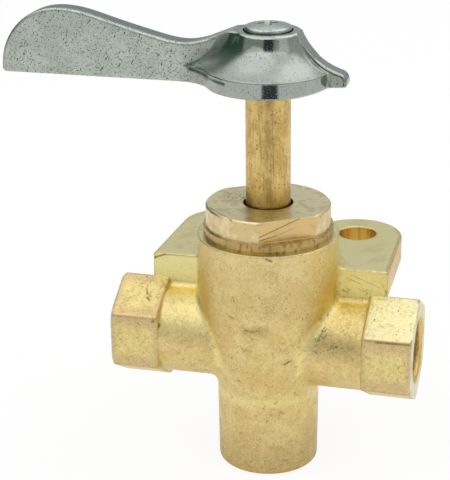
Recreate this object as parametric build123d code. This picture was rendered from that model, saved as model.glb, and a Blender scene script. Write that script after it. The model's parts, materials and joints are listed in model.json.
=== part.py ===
from build123d import *
import math
import os

# Three-way plug valve, in millimetres. The origin is the centre of the base on the stem's axis,
# +X runs out of the right-hand port, +Y goes back through the mounting flange and +Z is up.

os.makedirs("parts", exist_ok=True)

# Barrel of the cast body
barrel_height = 53.4
rim_radius = 15.25
shoulder_radius = 15.0
shoulder_z = 39.5
waist_radius = 11.2
waist_z = 18.0
foot_radius = 11.0
foot_edge = 1.0
barrel_blend = 7.0

# Mounting flange of the cast body
flange_top_z = 46.3
flange_thickness = 7.95
flange_top_round = 0.8
flange_under_round = 2.5
flange_edge = 0.45
flange_fillet = 1.5
flange_splay = 1.6
lobe_radius = 10.05
valley_radius = 8.0
bolt_spacing = 31.0
bolt_y = 22.05
bolt_hole_radius = 4.3

# Side ports of the cast body, which stand out past the flange
port_z = 29.0
port_overhang = 7.5
port_reach = bolt_spacing / 2 + lobe_radius + port_overhang
neck_radius = 9.85
neck_fillet = 1.8
hex_flats = 20.6
hex_length = 10.65
hex_start = port_reach - hex_length
hex_edge = 0.9
hex_inner_edge = 0.6
hex_chamfer = 0.7

# Pipe threads, cut at their largest radius, and the drilled passages behind them
thread_radius = 6.7
thread_depth = 13.0
thread_mouth = 0.6
passage_radius = 3.5
drill_cone = thread_radius - passage_radius

# Stem and square-cut rubber seal round it
stem_radius = 4.7625
seal_section = 2.52
seal_clearance = 0.05
seal_pocket = seal_section + 2 * seal_clearance

# Gland nut, measured from the rim of the barrel
nut_height = 6.75
nut_radius = 13.4
nut_edge = 0.35
flat_depth = 1.62
flat_angle = -56.2
collar_lip = 0.55
collar_height = 2.1
shank_radius = 11.6
shank_length = 9.4
shank_wall = 2.6
thread_clearance = 0.05
nut_hole_gap = 0.64
chamber_drop = 0.6
nut_top_z = barrel_height + nut_height
chamber_radius = shank_radius - shank_wall
chamber_top_z = barrel_height - chamber_drop

# Tapered seat and plug
gasket_thickness = 0.8
seat_land = 0.4
seat_bottom_z = thread_depth + drill_cone + seat_land
seat_bottom_radius = 7.4
seat_top_z = barrel_height - shank_length - gasket_thickness
seat_ledge = 1.2
seat_top_radius = shank_radius - seat_ledge
plug_clearance = 0.05
plug_setback = 1.1
plug_bottom_z = seat_bottom_z + plug_setback
plug_top_z = seat_top_z - plug_setback

# Washers and spring inside
washer_thickness = 1.2
washer_play = 0.15
spring_wire_radius = 0.7
spring_turns = 2.0

# Lever handle, measured from its underside
stem_exposed = 25.75
handle_z = nut_top_z + stem_exposed
rim_height = 3.75
rim_edge = 0.4
hub_radius = 13.1
hub_height = 11.6
hub_top_radius = 6.95
hub_edge = 0.8
flank_sag = 1.2
flank_shares = (0, 0.25, 0.5, 0.75, 1)
pear_fillet = 8.5
pear_overlap = 0.15
blade_thickness = 4.4
blade_reach = 58.4
blade_height = 14.5
blade_end_radius = 13.5
blade_corner = 0.9
blade_edge = 0.7
blade_dip_gap = 3.9
blade_dip_height = 8.55
blade_fall = ((0.37, 0.664), (0.742, 0.185))
hub_climb = 0.35
nub_length = 3.6
nub_height = 3.6
nub_fillet = 1.5
nub_round = 1.2
nub_undercut = 0.6
nub_rise = 0.8
ridge_inset = 0.5
ridge_share = 0.38
ridge_sag = 1.75
ridge_slopes = (-2.0, -0.3)
hub_top_z = handle_z + hub_height

# Drive between stem and handle
tang_width = 6.4
tang_height = 6.1
tang_clearance = 0.05
tang_head_gap = 0.3

# Handle screw and its split washer
recess_radius = 5.25
recess_depth = 2.1
head_gap = 0.3
screw_head_radius = recess_radius - head_gap
screw_head_height = 2.8
screw_dome = 0.75
screw_head_edge = 0.7
screw_radius = 2.4
screw_length = 13.0
screw_clearance = 0.15
screw_fit = 0.05
cross_width = 1.3
cross_length = 5.0
cross_depth = 1.9
cross_angle = 20.0
split_washer_thickness = 0.8
split_washer_inset = 0.75
split_gap = 0.7


def turned(points):
    """Solid of revolution about the stem's axis from a closed outline of (radius, height) points."""
    return revolve(Plane.XZ * make_face(Polyline(*points, close=True)), Axis.Z)


def ring(inner, outer, bottom, height):
    """Flat ring about the stem's axis."""
    return Pos(0, 0, bottom) * extrude(Circle(outer) - Circle(inner), height)


def rounded(face, corner, radius):
    """Round the corner of a flat outline that lies nearest to a point."""
    return fillet(face.vertices().sort_by_distance(corner)[:1], radius)


def seat_radius(z):
    """Radius of the tapered seat at a height."""
    slope = (seat_top_radius - seat_bottom_radius) / (seat_top_z - seat_bottom_z)
    return seat_bottom_radius + slope * (z - seat_bottom_z)


def barrel():
    """Cast barrel: straight foot, tapered middle and nearly straight top."""
    outline = make_face(
        Polyline(
            (0, 0),
            (foot_radius, 0),
            (waist_radius, waist_z),
            (shoulder_radius, shoulder_z),
            (rim_radius, barrel_height),
            (0, barrel_height),
            close=True,
        )
    )
    outline = rounded(outline, (waist_radius, waist_z), barrel_blend)
    outline = rounded(outline, (shoulder_radius, shoulder_z), barrel_blend)
    outline = rounded(outline, (foot_radius, 0), foot_edge)
    return revolve(Plane.YZ * outline, Axis.Z)


def neck():
    """Round neck of a side port, along +X to just inside the hexagon."""
    return Pos(0, 0, port_z) * (Plane.YZ * extrude(Circle(neck_radius), hex_start + hex_inner_edge))


def port_end():
    """Hexagonal end of a side port, along +X."""
    across = RegularPolygon(hex_flats / 2, 6, major_radius=False, rotation=30)
    across = fillet(across.vertices(), hex_edge)
    hexagon = Plane.YZ.offset(hex_start) * extrude(across, hex_length)
    hexagon = fillet(hexagon.faces().sort_by(Axis.X)[0].edges(), hex_inner_edge)
    corner = hex_flats / math.sqrt(3)
    trim = make_face(
        Polyline(
            (hex_start, 0),
            (hex_start, corner),
            (port_reach - hex_chamfer, corner),
            (port_reach, corner - hex_chamfer),
            (port_reach, 0),
            close=True,
        )
    )
    return Pos(0, 0, port_z) * (hexagon & revolve(Plane.XZ * trim, Axis.X))


def flange():
    """Plate behind the barrel: two round lobes, a hollow between them, splayed sides and a flat front."""
    centre_distance = lobe_radius + valley_radius
    rise = math.sqrt(centre_distance**2 - (bolt_spacing / 2) ** 2)
    lobe_end = 180 - math.degrees(math.atan2(rise, bolt_spacing / 2))
    arc = lobe_end - flange_splay
    right_lobe = CenterArc((bolt_spacing / 2, bolt_y), lobe_radius, flange_splay, arc)
    left_lobe = CenterArc((-bolt_spacing / 2, bolt_y), lobe_radius, 180 - flange_splay, -arc)
    valley = ThreePointArc(right_lobe @ 1, (0, bolt_y + rise - valley_radius), left_lobe @ 1)
    side = right_lobe @ 0
    half_width = side.X + (side.Y + lobe_radius) * math.tan(math.radians(flange_splay))
    front = Polyline(left_lobe @ 0, (-half_width, -lobe_radius), (half_width, -lobe_radius), side)
    plate = extrude(make_face([right_lobe, valley, left_lobe, front]), flange_thickness)
    plate = fillet(plate.faces().sort_by(Axis.Z)[-1].edges(), flange_top_round)
    plate = fillet(plate.faces().sort_by(Axis.Z)[0].edges(), flange_under_round)
    ahead = Box(3 * half_width, 2 * lobe_radius, flange_thickness)
    plate = plate - Pos(0, -lobe_radius, flange_thickness / 2) * ahead
    front_face = plate.faces().sort_by(Axis.Y)[0]
    plate = fillet(front_face.edges().sort_by(Axis.Z)[1:], flange_edge)
    return Pos(0, 0, flange_top_z - flange_thickness) * plate


def port_bore():
    """Thread bore with its mouth and drilled passage, along +X from the stem's axis."""
    bore_end = port_reach - thread_depth
    outline = make_face(
        Polyline(
            (0, 0),
            (0, passage_radius),
            (bore_end - drill_cone, passage_radius),
            (bore_end, thread_radius),
            (port_reach - thread_mouth, thread_radius),
            (port_reach, thread_radius + thread_mouth),
            (port_reach, 0),
            close=True,
        )
    )
    return Pos(0, 0, port_z) * revolve(Plane.XZ * outline, Axis.X)


def body_bore():
    """Bore on the stem's axis: bottom thread, passage, tapered seat and thread for the nut."""
    nut_thread = shank_radius + thread_clearance
    return turned(
        [
            (0, 0),
            (thread_radius, 0),
            (thread_radius, thread_depth),
            (passage_radius, thread_depth + drill_cone),
            (passage_radius, seat_bottom_z),
            (seat_bottom_radius, seat_bottom_z),
            (seat_top_radius, seat_top_z),
            (nut_thread, seat_top_z),
            (nut_thread, barrel_height),
            (0, barrel_height),
        ]
    )


def valve_body():
    """One casting: barrel, two necks and flange with cast fillets and hexagonal ends, drilled and bored."""
    round_part = barrel()
    right = neck()
    left = right.rotate(Axis.Z, 180)
    casting = round_part + right + left
    casting = fillet(new_edges(round_part, right, left, combined=casting), neck_fillet)
    plate = flange()
    joined = casting + plate
    front = [edge for edge in new_edges(casting, plate, combined=joined) if on_flange_front(edge)]
    casting = fillet(front, flange_fillet)
    hexagon = port_end()
    casting = casting + hexagon + hexagon.rotate(Axis.Z, 180)
    bore = port_bore()
    casting = casting - body_bore() - bore - bore.rotate(Axis.Z, 180)
    for side in (-1, 1):
        hole = extrude(Circle(bolt_hole_radius), flange_thickness)
        casting = casting - Pos(side * bolt_spacing / 2, bolt_y, flange_top_z - flange_thickness) * hole
    return casting


def on_flange_front(edge):
    """True for an edge in the plane of the flange's front face, between the two hexagons."""
    middle = edge.center()
    return abs(middle.Y) < flange_edge / 4 and abs(middle.X) < hex_start


def plug_stem():
    """Tapered plug and long stem in one piece, with a cross passage, a bottom passage and a square tang."""
    body = turned(
        [
            (0, plug_bottom_z),
            (seat_radius(plug_bottom_z) - plug_clearance, plug_bottom_z),
            (seat_radius(plug_top_z) - plug_clearance, plug_top_z),
            (stem_radius, plug_top_z),
            (stem_radius, handle_z),
            (0, handle_z),
        ]
    )
    tang = Pos(0, 0, handle_z) * extrude(Rectangle(tang_width, tang_width), tang_height)
    up_passage = Pos(0, 0, plug_bottom_z) * extrude(Circle(passage_radius), port_z - plug_bottom_z)
    side_passage = Pos(0, 0, port_z) * (Plane.YZ * extrude(Circle(passage_radius), seat_top_radius))
    elbow = Pos(0, 0, port_z) * Sphere(passage_radius)
    tap_top = handle_z + tang_height
    tap_bottom = screw_seat_z() - screw_length - tang_head_gap
    tap = Pos(0, 0, tap_bottom) * extrude(Circle(screw_radius + screw_fit), tap_top - tap_bottom)
    return body + tang - up_passage - side_passage - elbow - tap


def gland_nut():
    """Round nut with two wrench flats, a collar that seats on the rim and a hollow threaded shank."""
    collar_top = barrel_height + collar_height
    shank_bottom = barrel_height - shank_length
    hole_radius = stem_radius + nut_hole_gap
    pocket_radius = stem_radius + seal_pocket
    pocket_top = chamber_top_z + seal_pocket
    collar_radius = nut_radius + collar_lip
    nut = turned(
        [
            (hole_radius, nut_top_z),
            (nut_radius - nut_edge, nut_top_z),
            (nut_radius, nut_top_z - nut_edge),
            (nut_radius, collar_top),
            (collar_radius, collar_top),
            (collar_radius, barrel_height),
            (shank_radius, barrel_height),
            (shank_radius, shank_bottom),
            (chamber_radius, shank_bottom),
            (chamber_radius, chamber_top_z),
            (pocket_radius, chamber_top_z),
            (pocket_radius, pocket_top),
            (hole_radius, pocket_top),
        ]
    )
    width = 2 * (nut_radius + flat_depth)
    between_flats = Rectangle(2 * (nut_radius - flat_depth), width)
    cutter = Pos(0, 0, collar_top) * extrude(Rectangle(width, width) - between_flats, nut_top_z - collar_top)
    return nut - cutter.rotate(Axis.Z, flat_angle)


def thrust_washer():
    """Washer that turns on the plug's shoulder and carries the spring."""
    return ring(stem_radius + washer_play, chamber_radius - washer_play, plug_top_z, washer_thickness)


def packing_washer():
    """Washer that the spring presses up against the nut, under the seal."""
    bottom = chamber_top_z - washer_thickness
    return ring(stem_radius + washer_play, chamber_radius - washer_play, bottom, washer_thickness)


def nut_gasket():
    """Thin ring between the end of the nut's shank and the shoulder in the body."""
    return ring(seat_top_radius, shank_radius - washer_play, seat_top_z, gasket_thickness)


def stem_seal():
    """Square-cut rubber ring round the stem in the nut's pocket."""
    inner = stem_radius + seal_clearance
    return ring(inner, inner + seal_section, chamber_top_z, seal_section)


def plug_spring():
    """Coil spring with ground ends between the two washers."""
    bottom = plug_top_z + washer_thickness
    height = chamber_top_z - washer_thickness - bottom
    coil_radius = (stem_radius + chamber_radius) / 2
    path = Helix(height / spring_turns, height, coil_radius)
    start = Plane(path @ 0, z_dir=path % 0)
    coil = sweep(start * Circle(spring_wire_radius), path, is_frenet=True)
    ends = extrude(Circle(chamber_radius), height)
    return Pos(0, 0, bottom) * (coil & ends)


def pear(radius, left_fillet, right_fillet):
    """Plan outline of the hub: a circle that runs into the blade on the left and the nub on the right."""
    half = blade_thickness / 2 - pear_overlap
    left_x = -math.sqrt((radius + left_fillet) ** 2 - (half + left_fillet) ** 2)
    right_x = math.sqrt((radius + right_fillet) ** 2 - (half + right_fillet) ** 2)
    left_share = radius / (radius + left_fillet)
    right_share = radius / (radius + right_fillet)
    outline = [Line((left_x, half), (left_x, -half)), Line((right_x, half), (right_x, -half))]
    for side in (1, -1):
        left_touch = (left_x * left_share, side * (half + left_fillet) * left_share)
        right_touch = (right_x * right_share, side * (half + right_fillet) * right_share)
        outline.append(TangentArc((left_x, side * half), left_touch, tangent=(1, 0)))
        outline.append(ThreePointArc(left_touch, (0, side * radius), right_touch))
        outline.append(TangentArc((right_x, side * half), right_touch, tangent=(-1, 0)))
    return make_face(outline)


def blade_top_line():
    """Top edge of the blade, from the crown of its round end through the dip to the top of the hub."""
    start_x = blade_end_radius - blade_reach
    dip_x = -(hub_radius + blade_dip_gap)
    dip_z = handle_z + blade_dip_height
    fall = blade_height - blade_dip_height
    points = [(start_x, handle_z + blade_height)]
    for run_share, fall_share in blade_fall:
        points.append((start_x + run_share * (dip_x - start_x), dip_z + fall_share * fall))
    points.append((dip_x, dip_z))
    points.append((-hub_top_radius, hub_top_z))
    return Spline(*points, tangents=((1, 0), (1, hub_climb)))


def handle_outline():
    """Side outline of the blade, the hub's top and the nub."""
    top = blade_top_line()
    end_z = handle_z + blade_height - blade_end_radius
    end_arc = TangentArc(top @ 0, (-blade_reach, end_z), tangent=(-1, 0))
    flat = Line(top @ 1, (hub_top_radius - ridge_inset, hub_top_z))
    tip_x = hub_radius + nub_length
    nub_end = Vector(tip_x - nub_round, handle_z + nub_height)
    ridge_middle = flat @ 1 + (nub_end - flat @ 1) * ridge_share - Vector(0, ridge_sag)
    start_slope, end_slope = ridge_slopes
    ridge = Spline(flat @ 1, ridge_middle, nub_end, tangents=((1, start_slope), (1, end_slope)))
    tip = ThreePointArc(nub_end, (tip_x, nub_end.Y - nub_round), (tip_x - nub_undercut, handle_z))
    foot = Polyline(tip @ 1, (-blade_reach, handle_z), end_arc @ 1)
    outline = make_face([end_arc, top, flat, ridge, tip, foot])
    return rounded(outline, (-blade_reach, handle_z), blade_corner)


def hub():
    """Hub with a concave flank, cut along the top by the line of the blade's top edge."""
    rim_z = handle_z + rim_height
    start_radius = hub_radius - rim_edge
    run = start_radius - hub_top_radius
    rise = hub_top_z - rim_z
    length = math.hypot(run, rise)
    sections = []
    for share in flank_shares:
        sag = flank_sag * 4 * share * (1 - share)
        radius = start_radius - run * share - sag * rise / length
        z = rim_z + rise * share - sag * run / length
        sections.append(Pos(0, 0, z) * pear(radius, pear_fillet, nub_fillet))
    keep = extrude(Plane.XZ * handle_outline(), hub_radius, both=True)
    bell = loft(sections) & keep
    round_edges = bell.faces().sort_by(Axis.Z)[-1].edges().filter_by(GeomType.BSPLINE)
    return fillet(round_edges, hub_edge)


def underside_relief():
    """Wedge under the nub, where the handle's underside rises from the stem to the tip."""
    tip_x = hub_radius + nub_length
    wedge = Polyline((stem_radius, handle_z), (tip_x, handle_z), (tip_x, handle_z + nub_rise), close=True)
    return extrude(Plane.XZ * make_face(wedge), hub_radius, both=True)


def lever_handle():
    """Die-cast handle: pear-shaped hub with a concave flank, an upright blade and a pointer nub."""
    fin = extrude(Plane.XZ * handle_outline(), blade_thickness / 2, both=True)
    fin = fillet(fin.edges().filter_by(Axis.Y, reverse=True), blade_edge)
    foot = Pos(0, 0, handle_z) * extrude(pear(hub_radius, pear_fillet, nub_fillet), rim_height)
    foot = fillet(foot.edges().filter_by(Axis.Z, reverse=True), rim_edge)
    handle = fin + foot + hub() - underside_relief()
    floor_z = hub_top_z - recess_depth
    recess = Pos(0, 0, floor_z) * extrude(Circle(recess_radius), recess_depth)
    socket_width = tang_width + 2 * tang_clearance
    socket = Pos(0, 0, handle_z) * extrude(Rectangle(socket_width, socket_width), tang_height + tang_head_gap)
    hole = Pos(0, 0, handle_z) * extrude(Circle(screw_radius + screw_clearance), floor_z - handle_z)
    return handle - recess - socket - hole


def screw_seat_z():
    """Height of the underside of the screw's head, on its split washer."""
    return hub_top_z - recess_depth + split_washer_thickness


def handle_screw():
    """Round-headed screw with a cross recess."""
    seat = screw_seat_z()
    top = seat + screw_head_height
    side_top = top - screw_dome
    dome_middle = (screw_head_radius / 2, top - screw_dome / 4)
    dome = ThreePointArc((screw_head_radius, side_top), dome_middle, (0, top))
    sides = Polyline(
        (0, top),
        (0, seat - screw_length),
        (screw_radius, seat - screw_length),
        (screw_radius, seat),
        (screw_head_radius, seat),
        (screw_head_radius, side_top),
    )
    outline = rounded(make_face([dome, sides]), (screw_head_radius, side_top), screw_head_edge)
    screw = revolve(Plane.XZ * outline, Axis.Z)
    for angle in (0, 90):
        mouth = Pos(0, 0, top) * Rectangle(cross_length, cross_width)
        bottom = Pos(0, 0, top - cross_depth) * Rectangle(cross_width, cross_width / 2)
        screw = screw - loft([bottom, mouth]).rotate(Axis.Z, cross_angle + angle)
    return screw


def screw_lock_washer():
    """Split ring under the screw's head."""
    outer = screw_head_radius - split_washer_inset
    washer = ring(screw_radius + screw_clearance, outer, hub_top_z - recess_depth, split_washer_thickness)
    slit = Box(split_gap, outer, 2 * split_washer_thickness)
    return washer - Pos(0, outer / 2, screw_seat_z()) * slit


if __name__ == "__main__":
    pieces = {
        "valve_body": valve_body(),
        "gland_nut": gland_nut(),
        "plug_stem": plug_stem(),
        "thrust_washer": thrust_washer(),
        "packing_washer": packing_washer(),
        "nut_gasket": nut_gasket(),
        "stem_seal": stem_seal(),
        "plug_spring": plug_spring(),
        "lever_handle": lever_handle(),
        "handle_screw": handle_screw(),
        "screw_lock_washer": screw_lock_washer(),
    }
    for name, solid in pieces.items():
        export_step(solid, f"parts/{name}.step")
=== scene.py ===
import json
import math

import bpy
import numpy as np
from bpy.props import FloatProperty, FloatVectorProperty, IntProperty, PointerProperty
from mathutils import Matrix, Vector


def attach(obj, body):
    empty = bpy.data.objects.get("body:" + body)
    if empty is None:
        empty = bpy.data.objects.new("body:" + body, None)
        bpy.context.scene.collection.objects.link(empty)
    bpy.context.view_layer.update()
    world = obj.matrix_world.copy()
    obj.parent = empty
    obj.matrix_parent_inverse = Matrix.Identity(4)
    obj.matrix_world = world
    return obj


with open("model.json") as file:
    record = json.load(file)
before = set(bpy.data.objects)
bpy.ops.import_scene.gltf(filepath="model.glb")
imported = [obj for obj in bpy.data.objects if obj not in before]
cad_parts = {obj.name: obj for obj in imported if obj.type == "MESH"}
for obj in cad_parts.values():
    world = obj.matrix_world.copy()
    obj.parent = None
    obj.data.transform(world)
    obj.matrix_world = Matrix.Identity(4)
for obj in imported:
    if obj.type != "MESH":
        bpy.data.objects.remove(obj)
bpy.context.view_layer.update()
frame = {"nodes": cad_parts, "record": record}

bl_info = {
    "name": "Three-way fuel valve",
    "version": (1, 0, 0),
    "blender": (4, 5, 0),
    "location": "View3D > Sidebar > Valve",
    "description": "Dresses a brass three-way valve with its finishes, port threads and a studio stage",
    "category": "Object",
}

NODES = frame["nodes"]
MM = 0.001


# Sizes and colours a user would change

def colour(name, description, default):
    """A colour property with three channels in linear light."""
    return FloatVectorProperty(
        name=name, description=description, subtype="COLOR", size=3, min=0, max=1, default=default
    )


def length(name, description, default):
    """A length property in metres."""
    return FloatProperty(name=name, description=description, unit="LENGTH", precision=5, default=default)


def degrees(name, description, default):
    """An angle property whose default is given in degrees."""
    return FloatProperty(name=name, description=description, subtype="ANGLE", default=math.radians(default))


def watts(name, description, default):
    """The power of a lamp in watts."""
    return FloatProperty(name=name, description=description, unit="POWER", default=default)


class ValveFinishes(bpy.types.PropertyGroup):
    """Colours of the valve's metals."""

    cast: colour("Cast brass", "Sand-cast skin of the body", (0.76, 0.57, 0.26))
    # Painted reflection: lemon of the open fillets, where brass mirrors brass
    lemon_reflection: colour("Cast fillets", "Lemon yellow of the open fillets", (0.95, 0.86, 0.42))
    # Painted reflection: gold of the inner corners and along the barrel's edges
    gold_reflection: colour("Cast hollows", "Gold of the inner corners", (0.84, 0.57, 0.13))
    machined: colour("Machined brass", "Faced tops of the casting", (0.90, 0.83, 0.50))
    stem: colour("Stem brass", "Drawn bar of the stem", (0.63, 0.42, 0.14))
    nut: colour("Nut brass", "Turned gland nut", (0.72, 0.56, 0.27))
    zinc: colour("Plated zinc", "Dull plating of the lever", (0.46, 0.51, 0.455))
    steel: colour("Plated steel", "Screw head", (0.50, 0.55, 0.52))
    soot: colour("Dirt", "Dark dirt in pits and scratches", (0.09, 0.06, 0.03))


class ValveThreads(bpy.types.PropertyGroup):
    """Pipe threads in the three ports."""

    pitch: length("Pitch", "Distance between turns, eighteen to the inch", 25.4 / 18 * MM)
    height: length("Height", "Height of the ridge above the wall", 0.95 * MM)
    reach: length("Reach", "Length of thread from the mouth", 11.0 * MM)
    steps: IntProperty(name="Steps", description="Facets in one turn", default=72, min=12)


class ValveStage(bpy.types.PropertyGroup):
    """Camera, floor and light."""

    azimuth: degrees("Azimuth", "Camera to the right of the front", 15.353)
    elevation: degrees("Elevation", "Camera above the horizon", 20.842)
    roll: degrees("Roll", "Tilt of the picture", -0.676)
    distance: length("Distance", "Camera to target", 0.323342)
    target: FloatVectorProperty(
        name="Target",
        description="Point in the middle of the picture",
        unit="LENGTH",
        size=3,
        default=(-0.009654, 0.0, 0.050576),
    )
    lens: FloatProperty(name="Lens", description="Focal length on a 36 mm sensor", default=111.717)
    floor: colour("Floor", "Pale paper floor", (0.92, 0.92, 0.91))
    key_power: watts("Key", "Power of the large soft box", 4.6)
    fill_power: watts("Fill", "Power of the side soft box", 0.2)
    back_power: watts("Back", "Power of the top soft box", 1.3)


class ValveSettings(bpy.types.PropertyGroup):
    """All settings of the valve."""

    finishes: PointerProperty(type=ValveFinishes)
    threads: PointerProperty(type=ValveThreads)
    stage: PointerProperty(type=ValveStage)


# Shader maths

class Field:
    """A shader socket that takes part in Python arithmetic and adds the Math nodes it needs."""

    def __init__(self, maker, socket):
        self.maker = maker
        self.socket = socket

    def _math(self, operation, first, second):
        return self.maker.node("ShaderNodeMath", {"operation": operation}, {0: first, 1: second})["Value"]

    def __add__(self, other):
        return self._math("ADD", self, other)

    def __sub__(self, other):
        return self._math("SUBTRACT", self, other)

    def __rsub__(self, other):
        return self._math("SUBTRACT", other, self)

    def __mul__(self, other):
        return self._math("MULTIPLY", self, other)

    def __truediv__(self, other):
        return self._math("DIVIDE", self, other)

    def __abs__(self):
        return self._math("ABSOLUTE", self, 0)

    def __and__(self, other):
        return self._math("MINIMUM", self, other)

    def __or__(self, other):
        return self._math("MAXIMUM", self, other)

    __radd__ = __add__
    __rmul__ = __mul__

    def rise(self, low, high):
        """Smooth step from 0 at low to 1 at high; falls where low is the larger."""
        if low > high:
            return 1 - self.rise(high, low)
        settings = {"interpolation_type": "SMOOTHSTEP"}
        sockets = {"Value": self, "From Min": low, "From Max": high}
        return self.maker.node("ShaderNodeMapRange", settings, sockets)["Result"]

    def near(self, value, width):
        """1 at a value, falling to 0 a width away."""
        return abs(self - value).rise(width, 0)


class Shader:
    """A node tree under construction, emptied first."""

    def __init__(self, tree):
        self.tree = tree
        self.tree.nodes.clear()

    def node(self, kind, settings=None, sockets=None):
        """Add a node: its settings first, then the values or links of its sockets. Returns its outputs by name."""
        made = self.tree.nodes.new(kind)
        for key, value in (settings or {}).items():
            setattr(made, key, value)
        for key, value in (sockets or {}).items():
            if isinstance(key, int):
                socket = made.inputs[key]
            else:
                socket = next(s for s in made.inputs if s.name == key and s.enabled)
            if isinstance(value, Field):
                self.tree.links.new(value.socket, socket)
            else:
                socket.default_value = value
        return {s.name: Field(self, s) for s in made.outputs if s.enabled}


class Finish(Shader):
    """One material under construction. Its fields are in millimetres of the part's frame."""

    def __init__(self, name):
        self.material = bpy.data.materials.new(name)
        self.material.use_nodes = True
        super().__init__(self.material.node_tree)
        source = self.node("ShaderNodeTexCoord")
        self.place = self.vector("SCALE", source["Object"], Scale=1 / MM)
        self.x, self.y, self.z = self.split(self.place)
        self.nx, self.ny, self.nz = self.split(source["Normal"])

    def vector(self, operation, first, second=None, **sockets):
        """A Vector Math node on vectors; gives its vector, or its value where it has one."""
        inputs = {0: first, **sockets}
        if second is not None:
            inputs[1] = second
        made = self.node("ShaderNodeVectorMath", {"operation": operation}, inputs)
        return made.get("Vector") or made["Value"]

    def split(self, vector):
        """The three components of a vector."""
        parts = self.node("ShaderNodeSeparateXYZ", None, {"Vector": vector})
        return parts["X"], parts["Y"], parts["Z"]

    def join(self, x, y, z):
        """A vector from three fields."""
        return self.node("ShaderNodeCombineXYZ", None, {"X": x, "Y": y, "Z": z})["Vector"]

    def mix(self, first, second, factor):
        """Colour that goes from first to second."""
        pair = [value if isinstance(value, Field) else (*value, 1) for value in (first, second)]
        sockets = {"Factor": factor, "A": pair[0], "B": pair[1]}
        return self.node("ShaderNodeMix", {"data_type": "RGBA"}, sockets)["Result"]

    def coats(self, shade, *layers):
        """Colours laid over one another, each as (colour, how much of it shows)."""
        for colour, share in layers:
            shade = self.mix(shade, colour, share)
        return shade

    def noise(self, scale, detail=3.0, roughness=0.55, place=None, distortion=0.0):
        """Soft noise from 0 to 1; scale is in waves for each millimetre."""
        sockets = {
            "Vector": place or self.place,
            "Scale": scale,
            "Detail": detail,
            "Roughness": roughness,
            "Distortion": distortion,
        }
        return self.node("ShaderNodeTexNoise", None, sockets)["Fac"]

    def stretched(self, sx, sy, sz):
        """The place, stretched by a factor along each axis."""
        return self.vector("MULTIPLY", self.place, (sx, sy, sz))

    def dashes(self, direction, density, width, length, share):
        """Short dashes along one direction: cells of scattered points drawn out lengthways, of which a share is kept.
        Density is in points for each millimetre across, width and length in millimetres."""
        along = np.array(direction) / np.linalg.norm(direction)
        run = self.vector("DOT_PRODUCT", self.place, tuple(along)) * (width / length - 1)
        drawn = self.vector("ADD", self.place, self.vector("SCALE", tuple(along), Scale=run))
        cell = self.node("ShaderNodeTexVoronoi", None, {"Vector": drawn, "Scale": density})
        chance = self.split(cell["Color"])[0]
        return cell["Distance"].rise(width * density / 2, width * density / 4) * chance.rise(1 - share, 1.02 - share)

    def hairs(self, scale, width, share):
        """Thin wandering lines where a noise passes its middle, broken into short pieces."""
        line = abs(self.noise(scale, 2.0, 0.6, distortion=0.6) - 0.5).rise(width, width * 0.3)
        return line * self.noise(scale * 0.8, 1.0).rise(0.98 - share, 1.06 - share)

    def edges(self, radius):
        """1 along sharp edges and 0 on open faces."""
        plain = self.node("ShaderNodeNewGeometry")["Normal"]
        return (1 - self.vector("DOT_PRODUCT", self.rounded(radius), plain)).rise(0.01, 0.12)

    def rounded(self, radius):
        """The normal as if sharp edges had a radius, in millimetres."""
        return self.node("ShaderNodeBevel", {"samples": 6}, {"Radius": radius * MM})["Normal"]

    def away(self, point):
        """Distance from a point, in millimetres."""
        return self.vector("DISTANCE", self.place, point)

    def stroke(self, start, end, width):
        """A soft line between two points: 1 on the line, 0 a width away."""
        run = np.subtract(end, start)
        offset = self.vector("SUBTRACT", self.place, start)
        share = self.vector("DOT_PRODUCT", offset, tuple(run)) / float(run @ run)
        share = (share & 1.0) | 0.0
        nearest = self.vector("SCALE", tuple(run), Scale=share)
        return self.vector("DISTANCE", offset, nearest).rise(width, 0)

    def strokes(self, lines):
        """Several soft lines, each as (start, end, width, strength)."""
        drawn = None
        for start, end, width, strength in lines:
            line = self.stroke(start, end, width) * strength
            drawn = line if drawn is None else drawn | line
        return drawn

    def hollow(self, distance):
        """How closed in a place is: 0 in the open, 1 deep in a corner."""
        sockets = {"Distance": distance * MM}
        return 1 - self.node("ShaderNodeAmbientOcclusion", {"samples": 8}, sockets)["AO"]

    def depth(self):
        """Distance into the nearest port from its mouth, in millimetres."""
        return (PORT_REACH - abs(self.x)) & self.z

    def glow(self, shade):
        """Let the material shine by itself in one colour."""
        light = self.node("ShaderNodeEmission", None, {"Color": shade, "Strength": 1.0})["Emission"]
        self.node("ShaderNodeOutputMaterial", None, {"Surface": light})
        return self.material

    def finish(self, shade, roughness, height, depth, edge, metallic=1.0):
        """Principled shader with a bump of the given depth and rounded edges, both in millimetres."""
        sockets = {"Strength": 1.0, "Distance": depth * MM, "Height": height, "Normal": self.rounded(edge)}
        relief = self.node("ShaderNodeBump", None, sockets)["Normal"]
        sockets = {"Base Color": shade, "Roughness": roughness, "Metallic": metallic, "Normal": relief}
        surface = self.node("ShaderNodeBsdfPrincipled", None, sockets)["BSDF"]
        self.node("ShaderNodeOutputMaterial", None, {"Surface": surface})
        return self.material


def dress(node, material):
    """Give a CAD node one material."""
    slots = NODES[node].data.materials
    slots.clear()
    slots.append(material)


# Places and marks on the part

def reach_of(node):
    """The largest x, y and z of a CAD node, in millimetres."""
    piece = NODES[node]
    return np.max([piece.matrix_world @ Vector(corner) for corner in piece.bound_box], axis=0) / MM


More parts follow.
